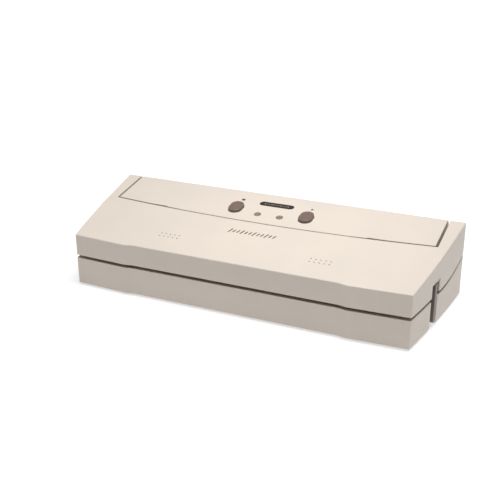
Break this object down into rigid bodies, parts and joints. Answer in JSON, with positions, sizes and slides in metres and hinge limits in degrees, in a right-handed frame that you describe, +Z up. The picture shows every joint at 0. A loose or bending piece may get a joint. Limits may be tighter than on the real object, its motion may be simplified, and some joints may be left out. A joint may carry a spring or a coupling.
{
  "type": "vacuum sealer",
  "caption": "Countertop vacuum sealer with a wedge-shaped hinged lid, side latch levers, sealing bar, suction trough, oval push buttons and a built-in diaphragm pump.",
  "frame": {"origin": "middle of the footprint, on the plane that the rubber feet rest on", "axes": "+X to the right seen from the front, along the width; +Y to the rear; +Z up"},
  "size_m": [0.4082, 0.152, 0.0834],
  "materials": {
    "casing": "fine-textured warm beige ABS",
    "casing_inner": "fine-textured beige ABS, inner mouldings",
    "control_plastic": "satin taupe plastic",
    "lamp_lens": "smoked translucent lens",
    "label": "dark printed strip",
    "foot_rubber": "black rubber",
    "seal_foam": "dark closed-cell foam",
    "silicone": "matte silicone",
    "hose": "translucent silicone tube",
    "black_plastic": "black moulded plastic",
    "white_plastic": "white moulded plastic",
    "tape": "brown PTFE-coated glass cloth",
    "steel": "plated steel",
    "brass": "plain brass",
    "copper_wire": "enamelled winding under tape",
    "board": "green solder mask"
  },
  "bodies": {
    "base": {"base_shell": "casing", "bottom_cover": "casing_inner", "rubber_feet": "foot_rubber", "cover_screws": "steel", "control_housing": "casing", "housing_screws": "steel", "display_strip": "label", "lamp_vacuum": "lamp_lens", "lamp_seal": "lamp_lens", "lamp_leds": "white_plastic", "circuit_board": "board", "board_screws": "steel", "board_components": "black_plastic", "button_switches": "black_plastic", "transformer_core": "steel", "transformer_winding": "copper_wire", "pump_motor": "steel", "motor_cradle": "black_plastic", "pump_crankcase": "black_plastic", "connecting_rod": "white_plastic", "diaphragm": "foot_rubber", "valve_cover": "black_plastic", "vacuum_hose": "hose", "suction_nozzle": "black_plastic", "lower_gasket": "seal_foam", "heater_carrier": "black_plastic", "heating_ribbon": "steel", "heater_tape": "tape", "heater_terminals": "brass", "hinge_pins": "steel", "latch_pins": "steel", "power_inlet": "black_plastic", "inlet_pins": "brass", "mains_wires": "black_plastic", "board_wires": "black_plastic", "motor_wires": "black_plastic", "heater_wires": "black_plastic"},
    "lid": {"lid_shell": "casing", "lid_liner": "casing_inner", "upper_gasket": "seal_foam", "pressure_strip": "silicone", "lid_screws": "steel", "lid_catches": "steel"},
    "stop_button": {"stop_button": "control_plastic"},
    "start_button": {"start_button": "control_plastic"},
    "latch_left": {"latch_left": "control_plastic"},
    "latch_right": {"latch_right": "control_plastic"},
    "motor_shaft": {"motor_shaft": "steel"}
  },
  "joints": [
    {"name": "lid_hinge", "type": "hinge", "parent": "base", "child": "lid", "pos_m": [0, 0.058, 0.065], "axis": [-1, 0, 0], "range_deg": [0, 70]},
    {"name": "stop_press", "type": "slide", "parent": "base", "child": "stop_button", "axis": [0, 0.1702, -0.9854], "range_m": [0, 0.0015], "stiffness_N_per_m": 400, "springref_m": -0.0005},
    {"name": "start_press", "type": "slide", "parent": "base", "child": "start_button", "axis": [0, 0.1702, -0.9854], "range_m": [0, 0.0015], "stiffness_N_per_m": 400, "springref_m": -0.0005},
    {"name": "latch_left_swing", "type": "hinge", "parent": "base", "child": "latch_left", "pos_m": [-0.19, -0.01325, 0.009], "axis": [1, 0, 0], "range_deg": [0, 8.5]},
    {"name": "latch_right_swing", "type": "hinge", "parent": "base", "child": "latch_right", "pos_m": [0.19, -0.01325, 0.009], "axis": [1, 0, 0], "range_deg": [0, 8.5]},
    {"name": "motor_spin", "type": "hinge", "parent": "base", "child": "motor_shaft", "pos_m": [-0.08, 0.046, 0.025], "axis": [1, 0, 0], "continuous": true}
  ]
}
